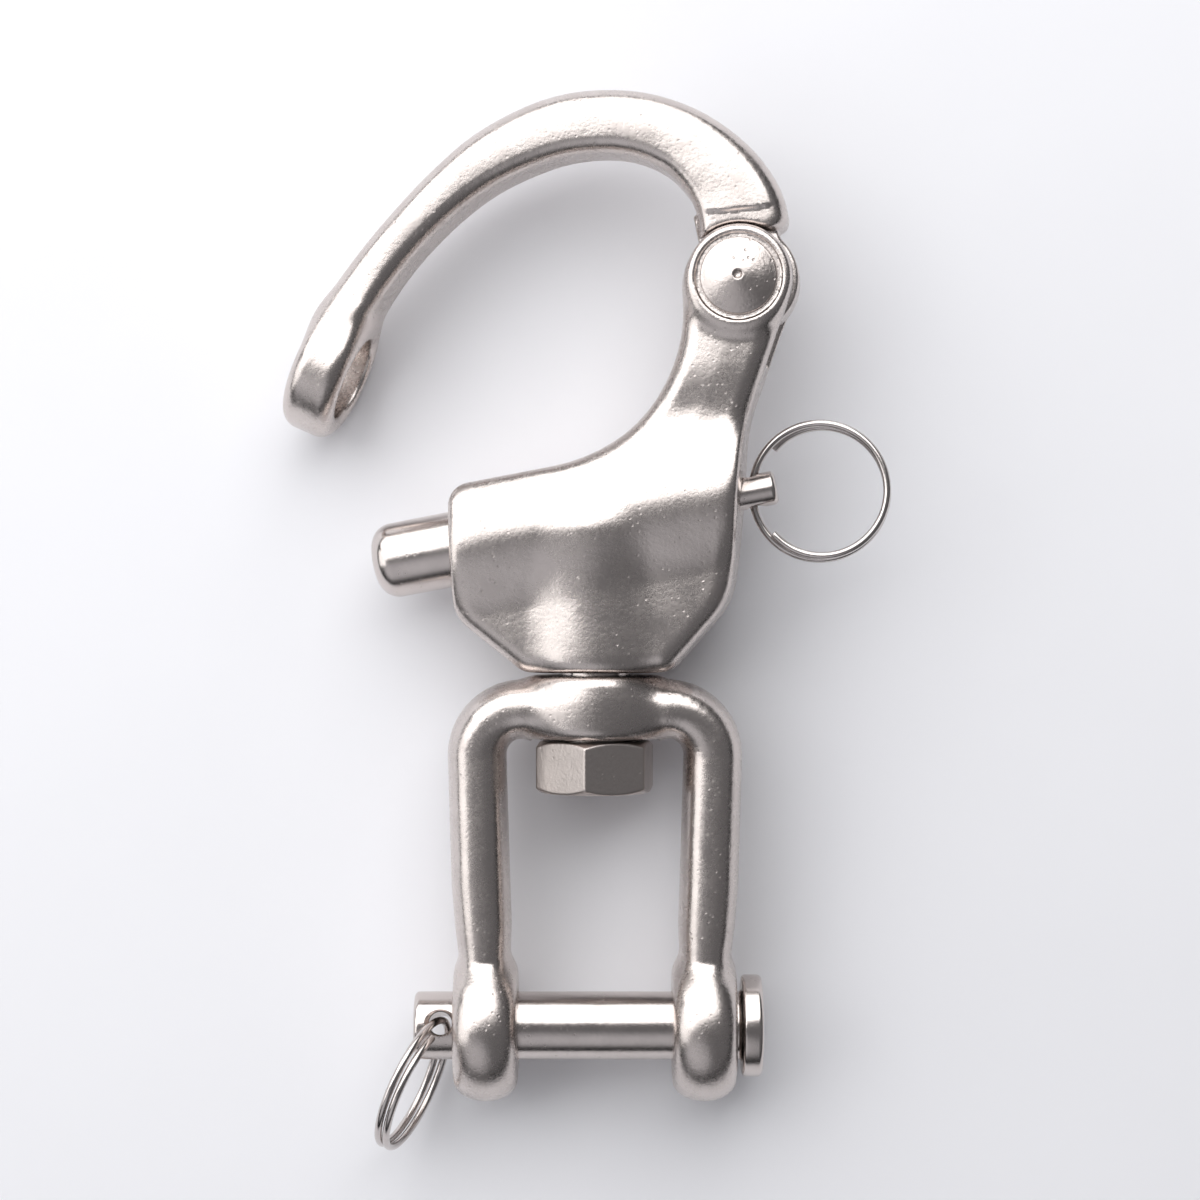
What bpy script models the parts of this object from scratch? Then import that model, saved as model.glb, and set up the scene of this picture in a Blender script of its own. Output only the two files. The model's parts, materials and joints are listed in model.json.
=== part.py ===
"""Swivel snap shackle with a jaw end, in cast and turned stainless steel.

It lies on a table as it is sold, on the rims of the jaw's two eyes and the rim of the bow's eye: the
bow a quarter of the way open, and the body turned a little on its swivel. The origin is the middle of
the clevis pin. +Y runs up the swivel axis towards the bow, +X along the pin towards its head, and +Z up
from the table.

Sizes below are in millimetres and degrees. MM turns them into Blender's metres.
"""

import bpy
import bmesh
from math import atan2, cos, degrees, hypot, pi, radians, sin, sqrt, tan
from mathutils import Matrix, Vector

MM = 0.001

# ---------------------------------------------------------------- driving dimensions

GAP = 0.3  # clearance between pieces that meet on the real shackle
LIE_PITCH = 1.84  # the swivel axis climbs this much from the jaw, which lifts the bow's eye onto the table

# Clevis pin: an 8 mm pin with a thin flat head and a cross hole for its split ring
PIN_DIAMETER = 8.0
PIN_RUNNING_FIT = 0.25  # radial, in the jaw's eyes
PIN_HEAD_DIAMETER = 12.0
PIN_HEAD_THICKNESS = 2.4
PIN_HEAD_PLAY = 0.7  # between the head and the jaw
PIN_HOLE_FROM_JAW = 0.15  # from the jaw to the near side of the cross hole
PIN_HOLE_PLAY = 0.055  # the ring's wire, which bows and leans through the hole, has this much room
PIN_HOLE_SINK = 0.5
PIN_TAIL_WALL = 1.85  # past the cross hole
PIN_ROLL = 13.0  # the pin has turned this far in the jaw

# Jaw: two eyes, two legs and a crown that the swivel passes through
JAW_OPENING = 18.4
EYE_WIDTH = 7.5
EYE_WALL = 4.65
EYE_FLAT_WALL = 2.2
LEG_WIDTH = 6.95
LEG_DEPTH = 10.4
LEG_SPLAY = 1.05  # the legs lean outwards this much on their way up
CROWN_UNDERSIDE = 34.2  # from the pin's axis
CROWN_HEIGHT = 7.5
CROWN_CORNER = 5.4  # bend radius on the middle line
BOSS_DIAMETER = 15.1

# Swivel: a stud fixed in the body, and the nut inside the jaw
STUD_DIAMETER = 8.0
STUD_IN_BODY = 8.4
NUT_FLATS = 13.0
NUT_HEIGHT = 6.2
NUT_TURN = 51.0  # of one corner, from straight up
NUT_CHAMFER = 0.7

# Body casting, from its foot at the swivel. It is turned on the swivel by BODY_ROLL
BODY_ROLL = -6.5
BODY_DEPTH = 11.6
BODY_ROUNDING = 2.0
BARREL_RISE = 17.9  # from the foot to the plunger's axis, on the swivel axis
BARREL_TILT = 10.6
BARREL_DIAMETER = 14.6
BARREL_SET_BACK = 0.12  # of its two ends, from the edge of the casting
SWIVEL_BOSS_DIAMETER = 13.8
MOUTH_AT = 16.9  # from the swivel axis to the face that the bow closes on
TAIL_FACE_AT = 18.15
MOUTH_FACE_TILT = 2.5
PIVOT_OUT = 17.5
PIVOT_RISE = 46.2
EAR_RADIUS = 6.25
EAR_SPREAD = 13.0  # over both ears
SLOT_WIDTH = 6.0
SLOT_DEPTH = 10.4  # from the pivot

# Rivet that the bow turns on
RIVET_DIAMETER = 5.0
RIVET_HEAD_DIAMETER = 9.0
RIVET_HEAD_HEIGHT = 1.5
RIVET_SEAT_DIAMETER = 10.7
RIVET_SEAT_DEPTH = 0.35
RIVET_DIMPLE = 1.1

# Bow, in its own frame: from the pivot to the eye, and outwards from that line
BOW_OPEN = 28.5  # from closed, as it lies
BOW_EYE_FACE_TILT = 4.3  # of the eye's faces, when closed
BOW_EYE_THICKNESS = 6.4
BOW_EYE_HALF_LENGTH = 8.1
BOW_EYE_HALF_DEPTH = 7.6
BOW_EYE_RUNNING_FIT = 0.6
BOW_EYE_PLAY = 1.5  # between the closed eye and the mouth
BOW_DEPTH = 9.6
BOW_EAR_CLEARANCE = 0.5
BOW_STEP_RADIUS = 7.7
BOW_STEP = 0.45
TONGUE_RADIUS = 5.6

# Plunger, its spring and its pull ring
PLUNGER_DIAMETER = 9.0
PLUNGER_FIT = 0.3
PLUNGER_REACH = 10.0  # of the nose past the mouth
PLUNGER_NOSE_ROUNDING = 2.6
PLUNGER_SHOULDER_AT = -3.0  # along the barrel from the swivel axis
TAIL_DIAMETER = 4.0
TAIL_PAST_FACE = 3.8
TAIL_HOLE_FROM_FACE = 1.0
TAIL_HOLE_DIAMETER = 2.2
BORE_END_WALL = 3.2
SPRING_WIRE = 0.9
SPRING_DIAMETER = 6.8  # mean
SPRING_COILS = 8

# Split rings, both the same
RING_OUTSIDE = 17.1
RING_WIRE = 0.9
RING_OVERLAP = 275.0  # the wire goes round once and then this much further
RING_PITCH = 0.98
RING_END_INSET = 0.6  # the two ends lie inside the other turn
PULL_RING_SAG = 10.6  # the pull ring lies this much off square to the tail
CLEVIS_RING_SIDE = 65.0  # from the pin's axis, round the cross hole
CLEVIS_RING_LEAN = 10.0

STEEL = (0.60, 0.585, 0.57)
STEEL_DARK = (0.42, 0.41, 0.40)

# ---------------------------------------------------------------- places worked out from them

FOOT = CROWN_UNDERSIDE + CROWN_HEIGHT + GAP
BARREL_Y = FOOT + BARREL_RISE
TILT = radians(BARREL_TILT)
ALONG_BARREL = Vector((cos(TILT), sin(TILT), 0))
ACROSS_BARREL = Vector((-sin(TILT), cos(TILT), 0))
PIVOT = Vector((PIVOT_OUT, FOOT + PIVOT_RISE, 0))
BARREL = Vector((0, BARREL_Y, 0))
EYE_X = (JAW_OPENING + EYE_WIDTH) / 2
EYE_RADIUS = PIN_DIAMETER / 2 + PIN_RUNNING_FIT + EYE_WALL
TAIL_HOLE_AT = TAIL_FACE_AT + TAIL_HOLE_FROM_FACE
RING_RADIUS = (RING_OUTSIDE - RING_WIRE) / 2


def hole_bow(half_length):
    """How far the ring's wire sits off the middle of a hole, so that its curve fits both ends."""
    return (RING_RADIUS - sqrt(RING_RADIUS**2 - half_length**2)) / 2


PIN_HOLE_LEAN = PIN_DIAMETER / 2 * sin(radians(CLEVIS_RING_LEAN))
PIN_HOLE_DIAMETER = RING_WIRE + PIN_HOLE_PLAY + 2 * hypot(hole_bow(PIN_DIAMETER / 2), PIN_HOLE_LEAN)
PIN_HOLE_X = -(JAW_OPENING / 2 + EYE_WIDTH + PIN_HOLE_FROM_JAW + PIN_HOLE_DIAMETER / 2)

# The bow's eye closes onto the plunger's axis
CLOSED_EYE = BARREL - ALONG_BARREL * (MOUTH_AT + BOW_EYE_PLAY + BOW_EYE_THICKNESS / 2)
BOW_REACH = (CLOSED_EYE - PIVOT).length
BOW_CLOSED_ANGLE = atan2(CLOSED_EYE.y - PIVOT.y, CLOSED_EYE.x - PIVOT.x)
BOW_ANGLE = BOW_CLOSED_ANGLE - radians(BOW_OPEN)


# ---------------------------------------------------------------- making shapes

def clear_scene():
    for thing in list(bpy.data.objects):
        bpy.data.objects.remove(thing, do_unlink=True)


def steel(name, colour, roughness):
    material = bpy.data.materials.new(name)
    material.use_nodes = True
    shader = material.node_tree.nodes["Principled BSDF"]
    shader.inputs["Base Color"].default_value = (*colour, 1)
    shader.inputs["Metallic"].default_value = 1.0
    shader.inputs["Roughness"].default_value = roughness
    return material


def object_of(name, mesh_maker, parent=None):
    """A new object with the bmesh that mesh_maker fills, in millimetres."""
    mesh = bpy.data.meshes.new(name)
    form = bmesh.new()
    mesh_maker(form)
    bmesh.ops.scale(form, vec=(MM, MM, MM), verts=form.verts)
    bmesh.ops.recalc_face_normals(form, faces=form.faces)
    form.to_mesh(mesh)
    form.free()
    made = bpy.data.objects.new(name, mesh)
    bpy.context.scene.collection.objects.link(made)
    made.parent = parent
    return made


def finish(piece, colour=STEEL, roughness=0.3, sharp=40.0):
    piece.data.materials.append(steel(piece.name + "_steel", colour, roughness))
    piece.data.shade_smooth()
    piece.data.set_sharp_from_angle(angle=radians(sharp))


def tool(piece):
    """Marks an object that only shapes another one."""
    piece.hide_render = True
    piece.display_type = "WIRE"
    return piece


def combine(piece, operation, *others):
    for other in others:
        step = piece.modifiers.new(f"{operation.lower()}_{other.name}", "BOOLEAN")
        step.operation = operation
        step.solver = "EXACT"
        step.object = tool(other)


def skin_rings(form, rings):
    """Bridges rings of points into a closed skin. A ring of one point closes an end to a tip."""
    made = [[form.verts.new(p) for p in ring] for ring in rings]
    for first, second in zip(made, made[1:]):
        count = max(len(first), len(second))
        for i in range(count):
            j = (i + 1) % count
            corners = [first[i % len(first)], first[j % len(first)],
                       second[j % len(second)], second[i % len(second)]]
            form.faces.new(list(dict.fromkeys(corners)))
    for end in (made[0], made[-1]):
        if len(end) > 2:
            form.faces.new(end)


def across_of(axis):
    """Two unit vectors square to an axis and to each other."""
    start = Vector((0, 0, 1)) if abs(axis.z) < 0.9 else Vector((0, 1, 0))
    first = axis.cross(start).normalized()
    return first, axis.cross(first).normalized()


def turned(name, profile, at, axis, sides, parent=None):
    """A turned piece: profile holds (radius, distance along the axis), from one end to the other."""
    axis = axis.normalized()
    first, second = across_of(axis)

    def fill(form):
        rings = []
        for radius, along in profile:
            centre = at + axis * along
            if radius == 0:
                rings.append([centre])
                continue
            turns = [2 * pi * i / sides for i in range(sides)]
            rings.append([centre + (first * cos(a) + second * sin(a)) * radius for a in turns])
        skin_rings(form, rings)

    return object_of(name, fill, parent)


def rounded_disc(radius, flat_radius, half, steps=4):
    """The profile of a disc whose rim is rounded from its flat faces to its middle."""
    profile = [(0, -half)]
    for i in range(-steps, steps + 1):
        a = pi / 2 * i / steps
        profile.append((flat_radius + (radius - flat_radius) * cos(a), half * sin(a)))
    return profile + [(0, half)]


def superellipse(width, depth, power, sides):
    """A section between an ellipse (power 2) and a rectangle (a high power)."""
    points = []
    for i in range(sides):
        a = 2 * pi * (i + 0.5) / sides
        c, s = cos(a), sin(a)
        points.append((width / 2 * abs(c) ** (2 / power) * (1 if c > 0 else -1),
                       depth / 2 * abs(s) ** (2 / power) * (1 if s > 0 else -1)))
    return points


def lofted(name, stations, power, sides, parent=None):
    """A bar in the X, Y plane: stations hold (x, y, width, depth) along its middle line."""
    def fill(form):
        rings = []
        for i, (x, y, width, depth) in enumerate(stations):
            back, ahead = stations[max(i - 1, 0)], stations[min(i + 1, len(stations) - 1)]
            heading = Vector((ahead[0] - back[0], ahead[1] - back[1], 0)).normalized()
            side = Vector((heading.y, -heading.x, 0))
            rings.append([Vector((x, y, v)) + side * u
                          for u, v in superellipse(width, depth, power, sides)])
        skin_rings(form, rings)

    return object_of(name, fill, parent)


def smooth_run(points, steps):
    """Points on a Catmull-Rom curve through the given ones, steps between each pair."""
    ends = [tuple(2 * a - b for a, b in zip(points[0], points[1]))]
    ends += list(points)
    ends += [tuple(2 * a - b for a, b in zip(points[-1], points[-2]))]
    run = []
    for i in range(1, len(ends) - 2):
        for k in range(steps):
            t = k / steps
            run.append(tuple(
                0.5 * (2 * b + (c - a) * t + (2 * a - 5 * b + 4 * c - d) * t**2
                       + (3 * b - a - 3 * c + d) * t**3)
                for a, b, c, d in zip(*ends[i - 1:i + 3])))
    return run + [tuple(points[-1])]


def arc(centre, radius, start, end, steps):
    """Points round an arc, from one angle in degrees to another."""
    turns = [radians(start + (end - start) * i / steps) for i in range(steps + 1)]
    return [(centre[0] + radius * cos(a), centre[1] + radius * sin(a)) for a in turns]


def filleted(corners):
    """Points round a closed outline whose (x, y, radius) corners are rounded to their radius."""
    points = []
    for i, (x, y, radius) in enumerate(corners):
        here = Vector((x, y))
        back = (Vector(corners[i - 1][:2]) - here).normalized()
        ahead = (Vector(corners[(i + 1) % len(corners)][:2]) - here).normalized()
        turn = pi - back.angle(ahead)
        if radius == 0 or turn < radians(2):
            points.append((x, y))
            continue
        centre = here + (back + ahead).normalized() * (radius / cos(turn / 2))
        start = here + back * (radius * tan(turn / 2)) - centre
        way = 1 if back.x * ahead.y - back.y * ahead.x < 0 else -1
        steps = max(2, round(degrees(turn) / 13))
        for k in range(steps + 1):
            a = atan2(start.y, start.x) + way * turn * k / steps
            points.append((centre.x + radius * cos(a), centre.y + radius * sin(a)))
    return points


def inset(outline, distance):
    """The anticlockwise outline, moved inwards."""
    moved = []
    for i, (x, y) in enumerate(outline):
        back = Vector(outline[i - 1])
        ahead = Vector(outline[(i + 1) % len(outline)])
        here = Vector((x, y))
        first = Vector((back.y - y, x - back.x)).normalized()
        second = Vector((y - ahead.y, ahead.x - x)).normalized()
        both = first + second
        moved.append(tuple(here + both * (2 * distance / both.length_squared)))
    return moved


def plate(name, outline, half_depth, rounding, parent=None, steps=3):
    """An outline in X, Y, with rounded edges. half_depth gives its half thickness at each (x, y)."""
    def fill(form):
        rings = []
        for side in (-1, 1):
            for i in range(steps + 1):
                a = pi / 2 * (i / steps if side > 0 else 1 - i / steps)
                ring = inset(outline, rounding * (1 - cos(a)))
                rings.append([Vector((x, y, side * (half_depth(*p) - rounding * (1 - sin(a)))))
                              for (x, y), p in zip(ring, outline)])
        skin_rings(form, rings)
        bmesh.ops.triangulate(form, faces=form.faces)

    return object_of(name, fill, parent)


def slab(name, outline, depth, parent=None):
    """An outline in X, Y, with sharp edges, about Z = 0."""
    def fill(form):
        skin_rings(form, [[Vector((x, y, z)) for x, y in outline] for z in (-depth / 2, depth / 2)])

    return object_of(name, fill, parent)


def wire(name, points, radius, sides, around, parent=None):
    """A round wire along a run of points that winds round an axis, with flat ends."""
    def fill(form):
        rings = []
        for i, point in enumerate(points):
            heading = (points[min(i + 1, len(points) - 1)] - points[max(i - 1, 0)]).normalized()
            first = around.cross(heading).normalized()
            second = heading.cross(first)
            turns = [2 * pi * k / sides for k in range(sides)]
            rings.append([point + (first * cos(a) + second * sin(a)) * radius for a in turns])
        skin_rings(form, rings)

    return object_of(name, fill, parent)


def empty(name, at, turn=None, parent=None):
    """An empty on a joint's axis, for the pieces that turn or slide together."""
    made = bpy.data.objects.new(name, None)
    made.empty_display_size = 5 * MM
    bpy.context.scene.collection.objects.link(made)
    made.parent = parent
    made.matrix_local = Matrix.Translation(at * MM) @ (turn or Matrix())
    return made


# ---------------------------------------------------------------- jaw and clevis pin

def jaw(lie):
    swivel = empty("jaw_swivel", Vector((0, 0, 0)), None, lie)
    outer = EYE_X + LEG_SPLAY
    crown_middle = CROWN_UNDERSIDE + LEG_WIDTH / 2
    leg_foot = EYE_RADIUS * 0.5
    leg_top = crown_middle - CROWN_CORNER
    half = [(EYE_X, leg_foot, LEG_WIDTH * 0.86, LEG_DEPTH * 0.98),
            (EYE_X + LEG_SPLAY * 0.1, EYE_RADIUS * 0.85, LEG_WIDTH * 0.88, LEG_DEPTH),
            (EYE_X + LEG_SPLAY * 0.3, EYE_RADIUS * 1.35, LEG_WIDTH * 0.98, LEG_DEPTH),
            (outer, leg_top, LEG_WIDTH, LEG_DEPTH)]
    corner = arc((outer - CROWN_CORNER, leg_top), CROWN_CORNER, 15, 90, 5)
    half += [(x, y, LEG_WIDTH, LEG_DEPTH * (1 + 0.12 * i / 5)) for i, (x, y) in enumerate(corner)]
    crown = [(0, crown_middle, LEG_WIDTH, LEG_DEPTH * 1.15)]
    stations = half + crown + [(-x, y, w, d) for x, y, w, d in reversed(half)]

    fork = lofted("fork", stations, 2.7, 16, swivel)
    up = Vector((0, 1, 0))
    boss = turned("jaw_boss", rounded_boss(BOSS_DIAMETER / 2, CROWN_UNDERSIDE,
                                           CROWN_UNDERSIDE + CROWN_HEIGHT, 0.8),
                  Vector((0, 0, 0)), up, 28, swivel)
    out = Vector((1, 0, 0))
    flat = PIN_DIAMETER / 2 + PIN_RUNNING_FIT + EYE_FLAT_WALL
    eyes = [turned(f"jaw_eye_{side}", rounded_disc(EYE_RADIUS, flat, EYE_WIDTH / 2),
                   Vector((x, 0, 0)), out, 32, swivel)
            for side, x in (("left", -EYE_X), ("right", EYE_X))]
    hole = PIN_DIAMETER / 2 + PIN_RUNNING_FIT
    span = EYE_X + EYE_WIDTH
    pin_bore = turned("jaw_pin_bore", [(0, -span), (hole, -span), (hole, span), (0, span)],
                      Vector((0, 0, 0)), out, 32, swivel)
    stud_hole = STUD_DIAMETER / 2 + GAP
    stud_bore = turned("jaw_stud_bore",
                       [(0, CROWN_UNDERSIDE - 5), (stud_hole, CROWN_UNDERSIDE - 5),
                        (stud_hole, FOOT + 5), (0, FOOT + 5)],
                       Vector((0, 0, 0)), up, 24, swivel)
    combine(fork, "UNION", boss, *eyes)
    combine(fork, "DIFFERENCE", pin_bore, stud_bore)
    finish(fork)
    return swivel


def rounded_boss(radius, low, high, rounding):
    """The profile of a short round boss with softened edges."""
    side = radius - rounding
    return [(0, low), (side, low), (side + rounding * 0.7, low + rounding * 0.3),
            (radius, low + rounding), (radius, high - rounding),
            (side + rounding * 0.7, high - rounding * 0.3), (side, high), (0, high)]


def clevis_pin(swivel):
    turn = Matrix.Rotation(-radians(PIN_ROLL), 4, "X")
    spin = empty("pin_spin", Vector((0, 0, 0)), turn, swivel)
    radius = PIN_DIAMETER / 2
    jaw_side = JAW_OPENING / 2 + EYE_WIDTH
    tail = PIN_HOLE_X - PIN_HOLE_DIAMETER / 2 - PIN_TAIL_WALL
    under_head = jaw_side + PIN_HEAD_PLAY
    head = PIN_HEAD_DIAMETER / 2
    top = under_head + PIN_HEAD_THICKNESS
    profile = [(0, tail), (radius - 0.5, tail), (radius, tail + 0.5), (radius, under_head - 0.6),
               (radius + 0.6, under_head), (head - 0.3, under_head), (head, under_head + 0.3),
               (head, top - 0.4), (head - 0.4, top), (0, top)]
    pin = turned("clevis_pin", profile, Vector((0, 0, 0)), Vector((1, 0, 0)), 32, spin)
    hole = PIN_HOLE_DIAMETER / 2
    sink = PIN_HOLE_SINK
    mouth = hole + sink
    reach = radius + 1
    profile = [(0, -reach), (mouth + 1, -reach), (mouth, -radius), (hole, -radius + sink),
               (hole, radius - sink), (mouth, radius), (mouth + 1, reach), (0, reach)]
    cross = turned("pin_cross_hole", profile, Vector((PIN_HOLE_X, 0, 0)), Vector((0, 0, 1)), 20, spin)
    combine(pin, "DIFFERENCE", cross)
    finish(pin, roughness=0.25)
    return spin


def split_ring(name, parent, in_hole):
    """A split ring about its parent's Z axis, which the wire passes through at in_hole."""
    turns = 1 + RING_OVERLAP / 360
    steps = round(26 * turns)
    points = []
    for i in range(steps + 1):
        share = 2 * i / steps - 1
        radius = RING_RADIUS - RING_END_INSET * share**2
        angle = pi + share * turns * pi
        points.append(Vector((radius * cos(angle) + RING_RADIUS + in_hole,
                              share * turns / 2 * RING_PITCH, radius * sin(angle))))
    ring = wire(name, points, RING_WIRE / 2, 8, Vector((0, 1, 0)), parent)
    finish(ring, roughness=0.22)
    return ring


def clevis_ring(spin):
    """The ring leans in the cross hole, and hangs to the side of the pin."""
    side = Matrix.Rotation(radians(180 + CLEVIS_RING_SIDE), 4, "Z")
    lean = Matrix.Rotation(radians(CLEVIS_RING_LEAN), 4, "X")
    swing = empty("clevis_ring_swing", Vector((PIN_HOLE_X, 0, 0)), side @ lean, spin)
    split_ring("clevis_ring", swing, -hole_bow(PIN_DIAMETER / 2))


# ---------------------------------------------------------------- body, stud, nut and rivet

def body_outline():
    """The casting seen from above, anticlockwise from the foot's left corner."""
    mouth = BARREL - ALONG_BARREL * MOUTH_AT
    lean = radians(MOUTH_FACE_TILT)
    right = TAIL_FACE_AT * cos(TILT)

    def face(rise):
        """A point on the mouth's face, this far above the barrel's axis."""
        return (mouth.x - rise * sin(lean), mouth.y + rise * cos(lean))

    corners = [(-8.2, FOOT, 2.6), (9.2, FOOT, 2.6), (right - 1.2, FOOT + 8.6, 9.0),
               (right + 0.15, BARREL_Y + 10.4, 14.0)]
    neck_right = radians(-19)
    ear = [(neck_right + (radians(150) - neck_right) * i / 12, EAR_RADIUS) for i in range(13)]
    shoulder = [(radians(170), EAR_RADIUS + 0.35), (radians(186), EAR_RADIUS + 0.65)]
    corners += [(PIVOT.x + r * cos(a), PIVOT.y + r * sin(a), 0) for a, r in ear + shoulder]
    corners += [(PIVOT.x - EAR_RADIUS - 0.1, BARREL_Y + 9.4, 18.5), (*face(7.3), 2.6), (*face(-8.4), 4.2)]
    return filleted(corners)


def body_half_depth(x, y):
    """The casting is a little deeper at the ears than at the barrel."""
    share = (y - BARREL_Y - 6) / (PIVOT.y - EAR_RADIUS * 1.6 - BARREL_Y - 6)
    share = min(max(share, 0), 1)
    return (BODY_DEPTH + (EAR_SPREAD - BODY_DEPTH) * share**2 * (3 - 2 * share)) / 2


def body(roll):
    plan = body_outline()
    casting = plate("body", plan, body_half_depth, BODY_ROUNDING, roll)

    reach = MOUTH_AT + 6
    barrel = turned("body_barrel", [(0, -reach), (BARREL_DIAMETER / 2, -reach),
                                    (BARREL_DIAMETER / 2, reach), (0, reach)],
                    BARREL, ALONG_BARREL, 32, roll)
    trim = slab("body_barrel_trim", inset(plan, BARREL_SET_BACK), BARREL_DIAMETER + 2, roll)
    combine(barrel, "INTERSECT", trim)
    radius = SWIVEL_BOSS_DIAMETER / 2
    boss = turned("body_swivel_boss", [(0, FOOT), (radius - 1.2, FOOT), (radius - 0.3, FOOT + 0.7),
                                       (radius, FOOT + 1.8), (radius, BARREL_Y), (0, BARREL_Y)],
                  Vector((0, 0, 0)), Vector((0, 1, 0)), 28, roll)
    combine(casting, "UNION", barrel, boss)

    bore = PLUNGER_DIAMETER / 2 + PLUNGER_FIT
    tail = TAIL_DIAMETER / 2 + PLUNGER_FIT
    bore_end = TAIL_FACE_AT - BORE_END_WALL
    plunger_bore = turned("body_plunger_bore", [(0, -reach), (bore, -reach), (bore, bore_end),
                                                (tail, bore_end), (tail, reach), (0, reach)],
                          BARREL, ALONG_BARREL, 28, roll)
    up = Vector((0, 0, 1))
    shank = RIVET_DIAMETER / 2 + GAP
    seat = RIVET_SEAT_DIAMETER / 2
    face = EAR_SPREAD / 2 - RIVET_SEAT_DEPTH
    rivet_bore = turned("body_rivet_bore", [(0, -20), (seat, -20), (seat, -face), (shank, -face),
                                            (shank, face), (seat, face), (seat, 20), (0, 20)],
                        PIVOT, up, 28, roll)
    half = SLOT_WIDTH / 2
    slot = turned("body_slot", [(0, -half), (SLOT_DEPTH, -half), (SLOT_DEPTH, half), (0, half)],
                  PIVOT, up, 40, roll)
    stud = STUD_DIAMETER / 2 + GAP
    top = FOOT + STUD_IN_BODY + GAP
    stud_bore = turned("body_stud_bore", [(0, FOOT - 5), (stud, FOOT - 5), (stud, top), (0, top)],
                       Vector((0, 0, 0)), Vector((0, 1, 0)), 24, roll)
    combine(casting, "DIFFERENCE", plunger_bore, rivet_bore, slot, stud_bore)
    finish(casting)


def swivel_stud(roll):
    radius = STUD_DIAMETER / 2
    low = CROWN_UNDERSIDE - GAP - NUT_HEIGHT + 0.2
    high = FOOT + STUD_IN_BODY
    profile = [(0, low), (radius - 0.8, low), (radius, low + 0.8), (radius, high - 0.4),
               (radius - 0.4, high), (0, high)]
    stud = turned("swivel_stud", profile, Vector((0, 0, 0)), Vector((0, 1, 0)), 24, roll)
    finish(stud, STEEL_DARK)


def swivel_nut(roll):
    """A hexagon with both ends chamfered by a cone, bored to clear the stud."""
    high = CROWN_UNDERSIDE - GAP
    low = high - NUT_HEIGHT
    corner = NUT_FLATS / 2 / cos(pi / 6)
    angles = [radians(NUT_TURN - BODY_ROLL + 60 * i) for i in range(6)]

    def fill(form):
        skin_rings(form, [[Vector((corner * sin(a), y, corner * cos(a))) for a in angles]
                          for y in (low, high)])

    nut = object_of("swivel_nut", fill, roll)
    flat = NUT_FLATS / 2
    cone = turned("nut_chamfer", [(0, low), (flat, low), (corner + 0.2, low + NUT_CHAMFER),
                                  (corner + 0.2, high - NUT_CHAMFER), (flat, high), (0, high)],
                  Vector((0, 0, 0)), Vector((0, 1, 0)), 36, roll)
    hole = STUD_DIAMETER / 2 + GAP
    bore = turned("nut_bore", [(0, low - 2), (hole, low - 2), (hole, high + 2), (0, high + 2)],
                  Vector((0, 0, 0)), Vector((0, 1, 0)), 24, roll)
    combine(nut, "INTERSECT", cone)
    combine(nut, "DIFFERENCE", bore)
    finish(nut, STEEL_DARK, 0.4)


def pivot_rivet(roll):
    """A rivet set from both sides, with a domed head on each and a punch mark in its middle."""
    shank = RIVET_DIAMETER / 2
    head = RIVET_HEAD_DIAMETER / 2
    seat = EAR_SPREAD / 2 - RIVET_SEAT_DEPTH + GAP
    dimple = RIVET_DIMPLE / 2
    rise = RIVET_HEAD_HEIGHT
    dome = [(shank, seat), (head, seat), (head, seat + 0.25)]
    for i in range(1, 4):
        a = i / 4 * pi / 2
        dome.append((head * cos(a), seat + 0.25 + rise * sin(a)))
    dome += [(dimple, seat + 0.2 + rise), (0, seat + rise - 0.35)]
    profile = [(r, -z) for r, z in reversed(dome)] + dome
    rivet = turned("pivot_rivet", profile, PIVOT, Vector((0, 0, 1)), 28, roll)
    finish(rivet, roughness=0.22)


# ---------------------------------------------------------------- bow

def bow_point(along, outwards):
    """A point in the body's frame, from a share of the way to the eye and a distance outwards."""
    to_eye = Vector((cos(BOW_ANGLE), sin(BOW_ANGLE), 0))
    outside = Vector((to_eye.y, -to_eye.x, 0))
    return PIVOT + to_eye * (BOW_REACH * along) + outside * outwards


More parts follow.
